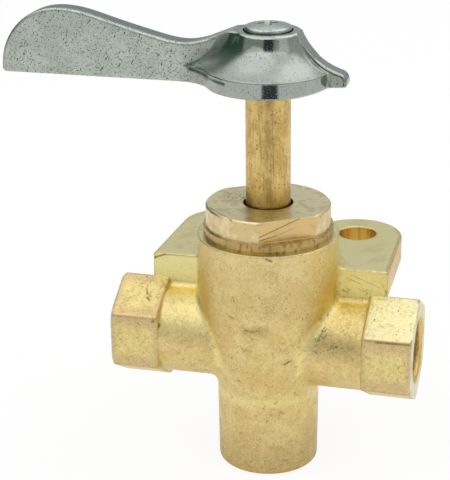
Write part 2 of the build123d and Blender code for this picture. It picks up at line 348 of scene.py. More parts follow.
# Places in millimetres, from the frame where it has them
MOUNTS = {mount["name"]: mount for mount in frame["record"]["mounts"]}
BOLTS = MOUNTS["flange_bolts"]
BOLT_X = BOLTS["dims"]["spacing_x_mm"] / 2
BOLT_Y = BOLTS["pos_m"][1] / MM
BOLT_RADIUS = BOLTS["dims"]["hole_r_mm"]
FLANGE_Z = BOLTS["pos_m"][2] / MM
PORT_Z = MOUNTS["right_port"]["pos_m"][2] / MM
PORT_REACH, _, RIM_Z = reach_of("valve_body")
BORE_RADIUS = MOUNTS["right_port"]["dims"]["r_mm"]
HEXAGON_X = 22.4
HEXAGON_MIDDLE_X = 27.7
WAIST_Z = 17.5
NUT_TOP_Z = reach_of("gland_nut")[2]
COLLAR_HEIGHT = 2.1
COLLAR_Z = RIM_Z + COLLAR_HEIGHT
NUT_FLAT_ANGLE = math.radians(-56.2)
NUT_FLAT_REACH = 11.78

# Marks seen on the part, and strokes of painted highlight, reflection and shade: start, end and width in millimetres,
# then strength
CAST_NICKS = (
    ((3.1, -14.9, 53.0), (4.2, -14.6, 52.5), 0.40, 1.0),
    ((6.3, -11.2, 27.8), (7.5, -10.6, 28.5), 0.40, 0.95),
    ((10.0, -10.9, 39.0), (10.1, -10.9, 38.2), 0.25, 0.8),
    ((14.4, -5.3, 37.8), (14.4, -5.5, 37.4), 0.35, 0.9),
    ((25.9, 0.0, 41.6), (25.8, 0.0, 42.0), 0.45, 1.0),
    ((25.5, -10.3, 34.6), (32.5, -10.2, 34.7), 0.35, 0.75),
    ((24.4, -5.8, 37.5), (24.4, -5.6, 37.7), 0.35, 0.9),
    ((32.3, -7.2, 36.7), (32.3, -7.1, 36.8), 0.35, 0.8),
    ((-26.7, -3.4, 38.9), (-26.2, -4.7, 38.2), 0.35, 0.8),
    ((-26.0, -5.6, 37.7), (-25.2, -6.2, 37.3), 0.40, 0.8),
    ((-23.3, -10.3, 34.3), (-23.1, -10.2, 34.3), 0.50, 0.85),
    ((-22.3, -9.0, 33.2), (-22.3, -9.1, 32.5), 0.40, 1.0),
    ((-23.1, -0.8, 40.4), (-21.9, -0.3, 39.4), 0.30, 0.7),
    ((-25.7, 0.0, 45.0), (-25.6, 0.0, 45.3), 0.40, 0.9),
    ((17.2, 0.0, 44.3), (20.6, 0.0, 43.1), 0.20, 0.45),
    ((18.2, 0.0, 45.1), (24.6, 0.0, 42.6), 0.18, 0.4),
    ((20.0, 0.0, 42.0), (22.2, 0.0, 41.2), 0.18, 0.4),
    ((16.4, 0.0, 41.4), (17.6, 0.0, 40.9), 0.40, 0.7),
    ((14.1, -7.4, 35.5), (12.9, -9.0, 33.0), 0.30, 0.8),
    ((14.0, -7.8, 35.0), (13.3, -8.7, 33.6), 0.50, 0.6),
    ((14.6, -8.3, 34.2), (14.2, -8.7, 33.6), 0.28, 0.7),
    ((16.6, -9.1, 32.8), (15.9, -9.4, 31.9), 0.24, 0.7),
    ((16.9, -9.3, 32.2), (17.0, -9.3, 32.1), 0.32, 0.9),
    ((15.8, -9.5, 31.7), (15.0, -9.6, 31.3), 0.26, 0.8),
    ((18.2, -9.3, 32.1), (18.3, -9.3, 32.0), 0.30, 0.8),
    ((16.2, -9.7, 30.9), (16.5, -9.7, 30.7), 0.28, 0.7),
    ((11.9, -9.6, 31.0), (13.0, -9.7, 30.5), 0.28, 0.7),
    ((17.8, -8.8, 33.5), (17.5, -8.9, 33.1), 0.26, 0.5),
    ((-2.9, -13.3, 32.0), (-2.1, -13.2, 30.7), 0.24, 0.55),
    ((-2.1, -13.2, 30.7), (-1.6, -13.4, 31.3), 0.24, 0.6),
    ((-1.6, -13.4, 31.3), (-0.7, -13.4, 30.9), 0.22, 0.5),
    ((-5.8, -13.8, 39.6), (-4.9, -14.05, 38.9), 0.24, 0.5),
    ((-4.9, -14.05, 38.9), (-4.15, -14.3, 38.8), 0.24, 0.6),
    ((-1.5, -14.4, 36.35), (-0.2, -14.4, 35.9), 0.40, 0.7),
    ((-0.2, -14.4, 35.9), (0.9, -14.4, 36.4), 0.35, 0.8),
    ((0.9, -14.4, 36.4), (2.0, -14.5, 37.5), 0.30, 0.4),
)
CAST_SMUDGES = (
    ((-1.6, -14.2, 35.9), (2.6, -14.3, 36.6), 1.7, 0.75),
    ((-2.0, -14.2, 35.6), (1.6, -14.5, 36.8), 1.5, 0.7),
    ((-2.4, -13.2, 31.2), (-1.0, -13.2, 31.2), 1.1, 0.4),
    ((-4.9, -14.0, 38.9), (-4.3, -14.2, 38.6), 1.0, 0.4),
    ((4.0, -12.2, 28.2), (6.6, -11.1, 28.2), 0.7, 0.4),
    ((13.0, -9.4, 32.0), (14.6, -8.3, 34.2), 2.2, 0.45),
    ((14.6, -9.2, 32.4), (19.2, -9.2, 32.4), 2.2, 0.45),
    ((-25.9, -4.8, 38.1), (-25.6, -5.6, 37.7), 0.9, 0.6),
)
NECK_SCUFFS = (
    ((12.9, -9.0, 32.6), (14.4, -7.6, 35.2), 1.6, 1.0),
    ((13.0, -9.6, 31.2), (19.0, -9.2, 32.2), 1.8, 0.8),
)
# Painted highlights along the fillets where the necks meet the barrel
FILLET_HIGHLIGHTS = (
    ((15.6, -1.8, 39.1), (13.5, -7.1, 36.0), 1.3, 0.6),
    ((13.5, -7.1, 36.0), (10.6, -9.5, 31.6), 1.3, 0.9),
    ((10.6, -9.5, 31.6), (9.2, -9.9, 28.5), 1.5, 1.0),
    ((9.2, -9.9, 28.5), (9.0, -9.0, 24.8), 1.7, 0.9),
    ((-13.0, -7.2, 36.2), (-10.7, -9.4, 32.0), 1.2, 0.8),
    ((-10.7, -9.4, 32.0), (-9.0, -9.8, 27.8), 1.3, 0.9),
    ((-9.0, -9.8, 27.8), (-8.6, -9.2, 24.9), 1.4, 0.8),
)
# Painted reflection: gold bands down the barrel's edges beside the necks
GOLD_REFLECTIONS = (
    ((14.9, -3.2, 45.8), (14.3, -4.6, 42.9), 2.2, 0.7),
    ((14.3, -4.6, 42.9), (13.3, -6.8, 39.5), 2.2, 1.0),
    ((13.3, -6.8, 39.5), (12.0, -8.0, 35.8), 2.0, 0.8),
    ((-12.6, -8.6, 43.9), (-12.2, -8.9, 38.7), 1.8, 0.6),
    ((-12.2, -8.9, 38.7), (-11.0, -9.4, 34.0), 1.8, 0.8),
)
EAR_EDGES = (
    ((-25.7, 0.0, 45.1), (-23.4, 0.0, 46.0), 0.40, 0.9),
    ((-23.4, 0.0, 46.0), (-16.0, 0.0, 46.1), 0.25, 0.7),
)
# Painted shade and dark reflection along the creases where the blade and the nub meet the hub
LEVER_SHADE_STROKES = (
    ((-16.9, -2.2, 89.5), (-14.0, -2.3, 90.9), 0.7, 0.8),
    ((-16.2, -2.4, 88.9), (-14.1, -3.5, 88.7), 0.8, 1.0),
    ((-14.1, -3.5, 88.7), (-12.1, -5.4, 88.5), 0.7, 1.0),
    ((-12.1, -5.4, 88.5), (-8.5, -10.0, 88.6), 0.6, 1.0),
    ((-8.5, -10.0, 88.6), (-6.4, -11.4, 88.5), 0.6, 1.0),
    ((-16.0, -2.2, 89.8), (-13.6, -2.6, 90.2), 1.1, 0.8),
    ((-13.8, -2.8, 90.6), (-9.2, -3.6, 94.4), 3.2, 0.55),
    ((12.8, -2.6, 88.8), (13.4, -2.3, 86.9), 0.4, 0.6),
    ((9.6, -2.4, 91.6), (12.6, -2.6, 89.6), 0.5, 0.8),
    ((7.4, -2.4, 95.4), (9.6, -2.4, 91.6), 0.4, 0.6),
)
NUT_SCRATCHES = (
    ((1.3, -13.3, 57.0), (8.6, -8.4, 60.0), 0.16, 0.8),
    ((1.3, -13.3, 56.2), (4.4, -11.2, 56.9), 0.16, 0.8),
    ((4.6, -11.1, 56.9), (8.0, -8.8, 58.2), 0.10, 0.4),
    ((-11.0, -6.6, 60.1), (-4.9, -12.4, 59.9), 0.35, 0.8),
)


# Finishes

def cast_brass(colours):
    """Sand-cast brass with grain, hair lines and pits, paler where it is faced, painted reflection in lemon and gold
    in the hollows, and painted light, highlights and shade on some faces.
    """
    f = Finish("cast_brass")
    across = abs(f.x)
    grain = f.noise(2.6, 3.0, 0.7)
    lumps = f.noise(0.95, 3.0, 0.6)
    mottle = f.noise(0.22, 4.0, 0.6)
    streaks = f.noise(1.0, 2.0, 0.5, f.stretched(1.6, 1.6, 0.1))

    # Machined places
    faced = f.nz.rise(0.97, 0.995) & (f.z.near(FLANGE_Z, 0.3) | f.z.near(RIM_Z, 0.3))
    port_end = across.rise(PORT_REACH - 0.10, PORT_REACH - 0.03) & abs(f.nx).rise(0.9, 0.97)
    skin = 1 - (faced | port_end)
    port_radius = f.vector("LENGTH", f.join(0, f.y, f.z - PORT_Z))
    bore = across.rise(20, 20.5) & port_radius.rise(BORE_RADIUS + 0.9, BORE_RADIUS + 0.6)
    port_rim = across.rise(PORT_REACH - 0.85, PORT_REACH - 0.35) & port_radius.rise(8.6, 9.0)
    bolt_radius = f.vector("LENGTH", f.join(across - BOLT_X, f.y - BOLT_Y, 0))
    hole = bolt_radius.rise(BOLT_RADIUS + 0.2, BOLT_RADIUS + 0.1) & skin

    # Cast places, several of them masks for painted light, highlights, reflection and shade
    # Front faces of the ears, which carry a painted highlight
    ear_front = f.y.near(0, 0.25) & f.z.rise(39.5, 40.5) & f.ny.rise(-0.7, -0.9)
    hexagon = across.rise(HEXAGON_X - 0.2, HEXAGON_X + 0.1) & skin
    hex_edges = hexagon & abs(f.nz).near(0.45, 0.35)
    hex_borders = (port_radius.rise(10.5, 11.2) | abs(across - HEXAGON_MIDDLE_X).rise(3.4, 5.2)) & hexagon
    pale_flat = hexagon & f.x.rise(20, 22) & f.nz.rise(0.7, 0.82) & f.ny.rise(0, -0.2)
    lit_left_neck = f.x.rise(-11, -13) & f.x.rise(-22.5, -21.5) & f.nz.near(0.5, 0.5) & f.ny.rise(0, -0.3)
    lit_barrel_top = f.z.rise(41, 50) & across.rise(16, 15) & skin
    waist = f.z.near(WAIST_Z, 2.0) & across.rise(12.5, 11.5)
    # Painted shade: the foot grows darker towards the floor
    foot = f.z.rise(13, 1)
    # Painted reflection: how closed in a place is picks out the hollows, lemon in the open fillets and gold deeper in
    closed = f.hollow(9.0)
    lemon = closed.rise(0.06, 0.32) & skin
    gold = closed.rise(0.30, 0.66) & skin
    edges = f.edges(0.8) * (1 - gold)
    rim_edge = edges & f.z.rise(RIM_Z - 1.0, RIM_Z - 0.6)

    # Pits, lines and marks
    rough_skin = (1 - faced * 0.6) * (1 - hole) * (1 - (ear_front & f.x.rise(5, -5)) * 0.8)
    hairs = (f.hairs(0.62, 0.010, 0.46) | f.hairs(1.0, 0.012, 0.42)) * rough_skin
    pits = f.noise(1.5, 2.0, 0.5).rise(0.74, 0.80) * rough_skin
    smudges = f.strokes(CAST_SMUDGES) * (0.35 + (grain.rise(0.48, 0.6) | f.hairs(1.1, 0.05, 0.6)) * 0.65)
    rubbed = f.dashes((-1.2, -1.6, -2.5), 2.4, 0.26, 1.7, 0.75) | f.dashes((-1.2, -0.8, -1.8), 3.0, 0.24, 0.9, 0.6)
    nicks = f.strokes(CAST_NICKS) * (0.25 + grain.rise(0.42, 0.56) * 0.75)

    # Colours that vary, then all of them in the order they are laid
    # Painted highlight on the ear fronts, paler on the left ear
    ear_highlight = f.mix((1.0, 0.94, 0.50), (0.99, 0.86, 0.38), f.x.rise(-5, 5))
    end_shade = f.mix((0.86, 0.82, 0.62), (0.74, 0.58, 0.28), mottle.rise(0.46, 0.60))
    # Painted shade: the bore goes from gold at its mouth to dark deeper in
    bore_shade = f.mix((0.84, 0.62, 0.25), (0.34, 0.19, 0.05), f.depth().rise(0.6, 2.6))
    # Painted light: the bolt holes' walls made paler, with streaks
    lit_hole_shade = f.mix((0.97, 0.80, 0.42), (0.76, 0.55, 0.22), streaks.rise(0.40, 0.64))
    shade = f.coats(
        colours.cast,
        ((0.85, 0.68, 0.34), mottle.rise(0.40, 0.66)),
        ((0.58, 0.42, 0.19), lumps.rise(0.50, 0.72) * (0.3 - hexagon * 0.25)),
        ((0.95, 0.82, 0.37), (hexagon & lumps.rise(0.72, 0.42)) * 0.6),
        ((0.72, 0.53, 0.30), hex_borders * (0.85 - pale_flat * 0.4)),
        # Darker tan band along the hexagon's rounded edges: partly the tan of wear, partly painted shade
        ((0.46, 0.33, 0.18), hex_edges * 0.45),
        # Painted highlight on the ear fronts
        (ear_highlight, ear_front * 0.95),
        # Painted reflection: lemon in the hollows and on the waist, then gold deeper in
        (colours.lemon_reflection, ((lemon * 0.7) | (waist * 0.5)) * (1 - ear_front)),
        (colours.gold_reflection, gold * (0.85 - ear_front * 0.45)),
        # Painted reflection along the barrel's edges
        (colours.gold_reflection, f.strokes(GOLD_REFLECTIONS) * 0.7),
        # Painted highlights along the neck fillets
        ((1.0, 0.90, 0.45), f.strokes(FILLET_HIGHLIGHTS) * 0.6),
        # Painted light: the left neck made paler
        ((1.0, 0.88, 0.46), lit_left_neck * 0.65),
        # Painted light: the top of the barrel made paler
        ((1.0, 0.83, 0.46), lit_barrel_top * 0.3),
        # Painted shade at the foot
        ((0.40, 0.26, 0.11), foot * 0.65),
        ((1.0, 0.96, 0.68), pale_flat * 0.6),
        ((1.0, 0.91, 0.58), grain.rise(0.53, 0.70) * 0.6),
        ((0.52, 0.37, 0.17), grain.rise(0.46, 0.28) * 0.5),
        ((0.50, 0.34, 0.16), edges * skin * lumps.rise(0.40, 0.58) * 0.5),
        # Painted highlight along the outer edge of the faced rim
        ((0.98, 0.88, 0.62), rim_edge * grain.rise(0.44, 0.56) * 0.8),
        (colours.machined, faced),
        ((0.74, 0.58, 0.32), (faced & mottle.rise(0.50, 0.62)) * 0.4),
        (end_shade, port_end),
        # Painted shade in the bores
        (bore_shade, bore),
        # Painted highlight along the edges of the port mouths
        ((0.95, 0.95, 0.84), f.edges(0.7) * port_rim * 0.9),
        # Painted light in the bolt holes
        (lit_hole_shade, hole),
        ((0.30, 0.19, 0.07), hairs * 0.65),
        (colours.soot, pits * 0.5),
        ((0.30, 0.22, 0.08), smudges * 0.8),
        ((0.20, 0.15, 0.06), f.strokes(NECK_SCUFFS) * rubbed),
        ((0.34, 0.20, 0.08), f.strokes(EAR_EDGES)),
        (colours.soot, nicks),
    )
    warm = f.vector("MULTIPLY", shade, (1.0, 0.99, 0.88))
    rough = 0.40 + (lumps - 0.5) * 0.15 + hairs * 0.15 - faced * 0.04 - hole * 0.08
    height = (grain + lumps) * (1 - (faced | hole) * 0.9) - pits * 0.5 - hairs * 0.3 - nicks * 0.5
    return f.finish(warm, rough, height, 0.12, 0.8)


def turned_brass(colours):
    """Turned gland nut: pale faced top, tan flats with scratches, painted darker as painted shade, and a darker
    polished collar with streaks.
    """
    f = Finish("turned_brass")
    angle = f.node("ShaderNodeMath", {"operation": "ARCTAN2"}, {0: f.y, 1: f.x})["Value"]
    radius = f.vector("LENGTH", f.join(f.x, f.y, 0))
    streaks = f.noise(1.0, 3.0, 0.6, f.join(angle * 15, f.z * 0.35, 0))
    rings = f.noise(1.0, 2.0, 0.5, f.join(radius * 4, f.z * 4, 0))
    mottle = f.noise(0.35, 4.0, 0.6)
    grain = f.noise(2.6, 3.0, 0.65)
    pits = f.noise(1.3, 3.0, 0.55).rise(0.64, 0.74)
    hairs = f.hairs(0.7, 0.014, 0.42)
    top = f.nz.rise(0.9, 0.99) & f.z.rise(NUT_TOP_Z - 0.65, NUT_TOP_Z - 0.15)
    collar = f.z.rise(COLLAR_Z + 0.05, COLLAR_Z - 0.05)
    reach = abs(f.x * math.cos(NUT_FLAT_ANGLE) + f.y * math.sin(NUT_FLAT_ANGLE))
    # Painted shade: the flats are made darker than the round so that their corners show
    flat = reach.rise(NUT_FLAT_REACH - 0.06, NUT_FLAT_REACH - 0.01) & (1 - collar) & (1 - top)
    smudge = f.away((-6.5, 2.0, NUT_TOP_Z)).rise(5.5, 2.0) & top
    wear_and_sheen = f.edges(0.35) * (1 - collar)
    scratches = f.strokes(NUT_SCRATCHES)
    shade = f.coats(
        colours.nut,
        ((0.86, 0.74, 0.46), mottle.rise(0.4, 0.65)),
        ((0.98, 0.88, 0.60), grain.rise(0.55, 0.75) * 0.4),
        # Painted shade on the flats
        ((0.78, 0.55, 0.23), flat * 0.8),
        ((0.87, 0.79, 0.49), top),
        ((0.60, 0.44, 0.20), (top & mottle.rise(0.50, 0.60)) * 0.5),
        ((0.48, 0.32, 0.11), collar * 0.9),
        ((0.22, 0.13, 0.04), (collar & streaks.rise(0.50, 0.62)) * 0.75),
        ((0.22, 0.14, 0.06), (smudge & grain.rise(0.46, 0.58)) * 0.7),
        ((0.97, 0.88, 0.66), wear_and_sheen * grain.rise(0.40, 0.55) * 0.6),
        ((0.30, 0.19, 0.08), hairs * 0.5),
        (colours.soot, pits * 0.45),
        ((0.16, 0.10, 0.04), scratches),
    )
    rough = 0.36 + (mottle - 0.5) * 0.2 - collar * 0.12
    height = rings * 0.5 + grain * 0.8 - pits * 0.4 - hairs * 0.4 - scratches
    return f.finish(shade, rough, height, 0.035, 0.2)


def stem_brass(colours):
    """Drawn bar: orange-gold with fine speckles and faint streaks along its length, darker near the nut."""
    f = Finish("stem_brass")
    streaks = f.noise(1.0, 3.0, 0.6, f.stretched(2.2, 2.2, 0.05))
    grain = f.noise(2.6, 3.0, 0.65, f.stretched(1.0, 1.0, 0.55))
    speckle = f.noise(1.9, 2.0, 0.6).rise(0.60, 0.68)
    hairs = f.hairs(0.9, 0.016, 0.45)
    mottle = f.noise(0.5, 4.0, 0.6, f.stretched(1.0, 1.0, 0.5))
    low = f.z.rise(67, NUT_TOP_Z + 0.5)
    shade = f.coats(
        colours.stem,
        ((0.82, 0.60, 0.23), mottle.rise(0.4, 0.62)),
        ((0.96, 0.76, 0.36), grain.rise(0.52, 0.72) * 0.55),
        ((0.34, 0.20, 0.06), streaks.rise(0.54, 0.70) * 0.55),
        ((0.38, 0.23, 0.06), low * 0.6),
        ((0.30, 0.18, 0.06), hairs * 0.55),
        (colours.soot, speckle * 0.55),
    )
    rough = 0.38 + (mottle - 0.5) * 0.25
    return f.finish(shade, rough, streaks * 0.6 + grain - speckle * 0.5 - hairs * 0.4, 0.05, 0.15)


def plated_zinc(colours):
    """Plated die casting: a dull blade covered in short dark flecks, a brighter polished hub, darker in the creases,
    painted shade and dark reflections on the hub and along its creases, and pale edges from wear with a painted
    highlight."""
    f = Finish("plated_zinc")
    fine = f.noise(2.4, 3.0, 0.65)
    mottle = f.noise(0.16, 3.0, 0.55)
    patches = f.noise(0.45, 4.0, 0.6)
    flecks = f.dashes((1.0, 0.0, 0.35), 2.2, 0.20, 0.70, 0.60)
    for direction, density, width, length, share in (
        ((0.3, 0.0, 1.0), 2.0, 0.22, 0.90, 0.50),
        ((-0.8, 0.2, 1.0), 2.4, 0.20, 0.60, 0.60),
        ((1.0, 0.0, 1.2), 0.9, 0.26, 1.80, 0.40),
        ((0.0, 1.0, 0.0), 2.6, 0.22, 0.35, 0.50),
    ):
        flecks = flecks | f.dashes(direction, density, width, length, share)

    # Places on the lever, several of them masks for painted shade and reflection
    hub = f.x.rise(-19, -13)
    polish = f.x.rise(-14, -6)
    low_flank = hub & f.nz.rise(0.25, 0.4) & f.z.rise(95.0, 93.0)
    rim = hub & f.nz.rise(0.4, 0.2)
    left_flank = f.x.rise(-24, -18) & f.x.rise(-3, -8)
    nub_side = f.x.rise(12.6, 13.6) * f.nz.rise(0.6, 0.3)
    blade_top = f.nz.rise(0.75, 0.93) & f.x.rise(-13, -17)
    hollow = f.hollow(5.0).rise(0.12, 0.6)
    wear_and_sheen = f.edges(0.5) * (1 - hollow)
    blade_end = wear_and_sheen & f.x.rise(-47, -52)
    # Painted shade in the creases, broken up by the patches
    crease_shade = f.strokes(LEVER_SHADE_STROKES) * (0.6 + patches.rise(0.30, 0.50) * 0.4)
    shade = f.coats(
        colours.zinc,
        ((0.54, 0.595, 0.53), mottle.rise(0.4, 0.65)),
        ((0.26, 0.29, 0.245), fine.rise(0.50, 0.70) * 0.55),
        ((0.60, 0.645, 0.58), fine.rise(0.48, 0.30) * 0.5),
        ((0.44, 0.43, 0.35), (patches.rise(0.50, 0.62) & left_flank) * 0.65),
        # Painted shade: the hub darker, standing in for darker surroundings that it mirrors
        ((0.36, 0.40, 0.365), hub * 0.5),
        # Painted shade on the hub's rim and lower flank
        ((0.30, 0.34, 0.315), (low_flank | rim) * 0.4),
        # Painted reflection: the blade's top darkened as if it mirrored dark surroundings
        ((0.20, 0.235, 0.25), blade_top * 0.75),
        # Painted shade on the steep side of the nub
        ((0.26, 0.29, 0.23), nub_side * 0.75),
        ((0.12, 0.15, 0.13), hollow * 0.5),
        # Pale edges: wear, with a painted highlight along them
        ((0.80, 0.86, 0.84), wear_and_sheen * 0.8),
        # Painted reflection: a dark line along the edges of the blade's far end
        ((0.08, 0.10, 0.10), blade_end * 0.85),
        # Painted shade in the creases
        ((0.035, 0.065, 0.05), crease_shade),
        ((0.045, 0.05, 0.04), flecks * patches.rise(0.28, 0.46) * (0.9 - polish * 0.35)),
    )
    rough = 0.34 - polish * 0.22 + low_flank * polish * 0.17 + (fine - 0.5) * (0.16 - hub * 0.08) + flecks * 0.2
    height = (fine * 0.5 + patches * 0.5 - flecks * 0.8) * (1 - hub * 0.9)
    return f.finish(shade, rough, height, 0.04, 0.3)


def plated_steel(colours):
    """Bright plated screw, darker in its recess."""
    f = Finish("plated_steel")
    fine = f.noise(2.0, 3.0, 0.6)
    # Darker deep in the recess
    dirt = f.hollow(1.5).rise(0.25, 0.8)
    flecks = f.dashes((1.0, 0.4, 0.0), 1.8, 0.20, 0.6, 0.5) | f.dashes((-0.5, 1.0, 0.0), 1.8, 0.20, 0.6, 0.5)
    shade = f.coats(
        colours.steel,
        ((0.30, 0.33, 0.31), fine.rise(0.48, 0.66) * 0.6),
        ((0.80, 0.84, 0.80), f.edges(0.3) * 0.6),
        ((0.05, 0.05, 0.045), flecks * 0.7),
        ((0.03, 0.03, 0.03), dirt),
    )
    return f.finish(shade, 0.25 + fine * 0.12, fine, 0.03, 0.15)


def spring_steel():
    """Drawn steel wire."""
    f = Finish("spring_steel")
    fine = f.noise(1.5, 2.0, 0.5)
    shade = f.mix((0.42, 0.42, 0.43), (0.52, 0.52, 0.53), fine)
    return f.finish(shade, 0.3 + fine * 0.1, fine, 0.01, 0.05)


def seal_rubber():
    """Black seal rubber."""
    f = Finish("seal_rubber")
    fine = f.noise(3.0, 2.0, 0.5)
    shade = f.mix((0.018, 0.018, 0.018), (0.035, 0.035, 0.035), fine)
    return f.finish(shade, 0.65 + fine * 0.1, fine, 0.02, 0.05, metallic=0.0)


def thread_brass():
    """Freshly cut thread, with painted shade that darkens it towards the bottom of the bore."""
    f = Finish("thread_brass")
    fine = f.noise(1.6, 3.0, 0.6)
    shade = f.mix((0.84, 0.62, 0.25), (0.36, 0.21, 0.06), f.depth().rise(0.6, 2.8) | fine.rise(0.6, 0.9))
    return f.finish(shade, 0.35 + fine * 0.12, fine, 0.02, 0.05)


# New pieces

SHARP_ANGLE = math.radians(35)

# Section of a thread ridge, in shares of the pitch
ROOT_HALF = 0.48
CREST_HALF = 0.07
# How much a taper thread closes in for its depth, how far a ridge's foot lies in the wall and its least height
TAPER = 1 / 32
FOOT_SUNK = 0.02 * MM
LEAST_FADE = 0.03


def put_mesh(name, points, faces, material):
    """Object at the origin from an array of points and a list of faces."""
    mesh = bpy.data.meshes.new(name)
    mesh.from_pydata(points, [], faces)
    mesh.validate()
    mesh.polygons.foreach_set("use_smooth", np.ones(len(mesh.polygons), dtype=bool))
    mesh.set_sharp_from_angle(angle=SHARP_ANGLE)
    mesh.materials.append(material)
    piece = bpy.data.objects.new(name, mesh)
    bpy.context.scene.collection.objects.link(piece)
    return piece


def ridge_points(mouth, axis, wall, settings):
    """Ridge of a pipe thread. The angle runs along a helix that goes into the port by one pitch each turn, and the
    section goes from the wall in to a narrow crest and back. Its height fades in and out over half a turn, and the
    crests close in on the axis by one part in thirty-two, as a taper thread's do."""
    inward = -np.array(axis)
    side = np.roll(inward, 1)
    other = np.cross(inward, side)
    turns = settings.reach / settings.pitch
    angle = np.linspace(0, 2 * np.pi * turns, int(turns * settings.steps) + 1)[:, None]
    depth = angle / (2 * np.pi) * settings.pitch
    fade = np.clip(np.minimum(angle, angle[-1] - angle) / np.pi, LEAST_FADE, 1)
    share = np.array([0.0, 1.0, 1.0, 0.0])
    across = np.array([-ROOT_HALF, -CREST_HALF, CREST_HALF, ROOT_HALF]) * settings.pitch
    height = (settings.height + depth * TAPER) * fade
    radius = wall - height * share + FOOT_SUNK * (1 - share)
    along = depth + across * fade + settings.pitch / 2
    ring = np.cos(angle)[..., None] * side + np.sin(angle)[..., None] * other
    return np.array(mouth) + along[..., None] * inward + radius[..., None] * ring


def tube_faces(rows, columns):
    """Faces of a grid of rows that closes across its columns, with a cap at each end."""
    row, column = np.meshgrid(np.arange(rows - 1), np.arange(columns), indexing="ij")
    after = (column + 1) % columns
    start, end = row * columns, (row + 1) * columns
    quads = np.stack([start + column, end + column, end + after, start + after], -1)
    caps = [list(range(columns)), list(range(rows * columns - 1, (rows - 1) * columns - 1, -1))]
    return quads.reshape(-1, 4).tolist() + caps


def outward(points, faces):
    """Faces turned so that the volume they enclose is positive."""
    flat = points.reshape(-1, 3)
    quads = np.array([face for face in faces if len(face) == 4])
    a, b, c, d = (flat[quads[:, i]] for i in range(4))
    volume = np.einsum("ij,ij->", np.cross(b - a, c - a), a) + np.einsum("ij,ij->", np.cross(c - a, d - a), a)
    return faces if volume > 0 else [face[::-1] for face in faces]


# Operators

class VALVE_OT_cast_body(bpy.types.Operator):
    """Dress the cast body"""

    bl_idname = "valve.cast_body"
    bl_label = "Cast body"

    def execute(self, context):
        dress("valve_body", cast_brass(context.scene.valve.finishes))
        return {"FINISHED"}


class VALVE_OT_gland_nut(bpy.types.Operator):
    """Dress the gland nut and the two brass washers"""

    bl_idname = "valve.gland_nut"
    bl_label = "Gland nut and washers"

    def execute(self, context):
        brass = turned_brass(context.scene.valve.finishes)
        for node in ("gland_nut", "thrust_washer", "packing_washer"):
            dress(node, brass)
        return {"FINISHED"}


class VALVE_OT_stem(bpy.types.Operator):
    """Dress the plug and its stem"""

    bl_idname = "valve.stem"
    bl_label = "Plug and stem"

    def execute(self, context):
        dress("plug_stem", stem_brass(context.scene.valve.finishes))
        return {"FINISHED"}


class VALVE_OT_lever(bpy.types.Operator):
    """Dress the lever handle and its screw"""

    bl_idname = "valve.lever"
    bl_label = "Lever and screw"

    def execute(self, context):
        finishes = context.scene.valve.finishes
        dress("lever_handle", plated_zinc(finishes))
        dress("handle_screw", plated_steel(finishes))
        return {"FINISHED"}


class VALVE_OT_seals(bpy.types.Operator):
    """Dress the spring, the split washer and the rubber seals"""

    bl_idname = "valve.seals"
    bl_label = "Spring and seals"

    def execute(self, context):
        steel, rubber = spring_steel(), seal_rubber()
        dress("plug_spring", steel)
        dress("screw_lock_washer", steel)
        dress("stem_seal", rubber)
        dress("nut_gasket", rubber)
        return {"FINISHED"}


class VALVE_OT_port_threads(bpy.types.Operator):
    """Cut pipe threads in the three ports"""

    bl_idname = "valve.port_threads"
    bl_label = "Port threads"

    def execute(self, context):
        settings = context.scene.valve.threads
        brass = thread_brass()
        for name, port in MOUNTS.items():
            if port["kind"] != "threaded_hole":
                continue
            points = ridge_points(port["pos_m"], port["axis"], port["dims"]["r_mm"] * MM, settings)
            faces = outward(points, tube_faces(*points.shape[:2]))
            piece = put_mesh(name + "_thread", points.reshape(-1, 3), faces, brass)
            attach(piece, "body")
        return {"FINISHED"}


class VALVE_OT_stage(bpy.types.Operator):
    """Set the camera, the pale floor, the soft boxes and the white surroundings"""

    bl_idname = "valve.stage"
    bl_label = "Stage"

    def execute(self, context):
        settings = context.scene.valve.stage
        place_camera(settings)
        lay_floor(settings)
        soft_box("key_box", place=(-0.45, -0.65, 0.75), size=1.8, power=settings.key_power)
        soft_box("fill_box", place=(0.75, -0.35, 0.45), size=0.5, power=settings.fill_power)
        soft_box("back_box", place=(0.45, 0.3, 0.85), size=0.8, power=settings.back_power)
        hang_curtain()
        stand_camera_block()
        white_room()
        context.scene.view_settings.view_transform = "Standard"
        return {"FINISHED"}


# Stage, in metres

SENSOR_WIDTH_MM = 36
NEAR_CLIP = 0.01
LAMP_AIM = Vector((0, 0, 0.055))
FLOOR_HALF = 4.0
FLOOR_WHITE = 1.04
FLOOR_SEEN_BY_CAMERA = 0.85
FLOOR_SEEN_IN_REFLECTIONS = 0.6
ROOM_LIGHT = 0.6
CURTAIN_HEIGHT = 0.75
CURTAIN_STEPS = 72


def place_camera(settings):
    """Camera on a sphere about the target, rolled about its own line of sight."""
    a, e = settings.azimuth, settings.elevation
    back = Vector((math.sin(a) * math.cos(e), -math.cos(a) * math.cos(e), math.sin(e)))
    right = (-back).cross(Vector((0, 0, 1))).normalized()
    up = right.cross(-back)
    c, s = math.cos(settings.roll), math.sin(settings.roll)
    axes = Matrix((right * c + up * s, up * c - right * s, back)).transposed()
    data = bpy.data.cameras.new("photo_camera")
    data.sensor_width = SENSOR_WIDTH_MM
    data.lens = settings.lens
    data.clip_start = NEAR_CLIP
    camera = bpy.data.objects.new("photo_camera", data)
    camera.matrix_world = Matrix.Translation(Vector(settings.target) + back * settings.distance) @ axes.to_4x4()
    bpy.context.scene.collection.objects.link(camera)
    bpy.context.scene.camera = camera


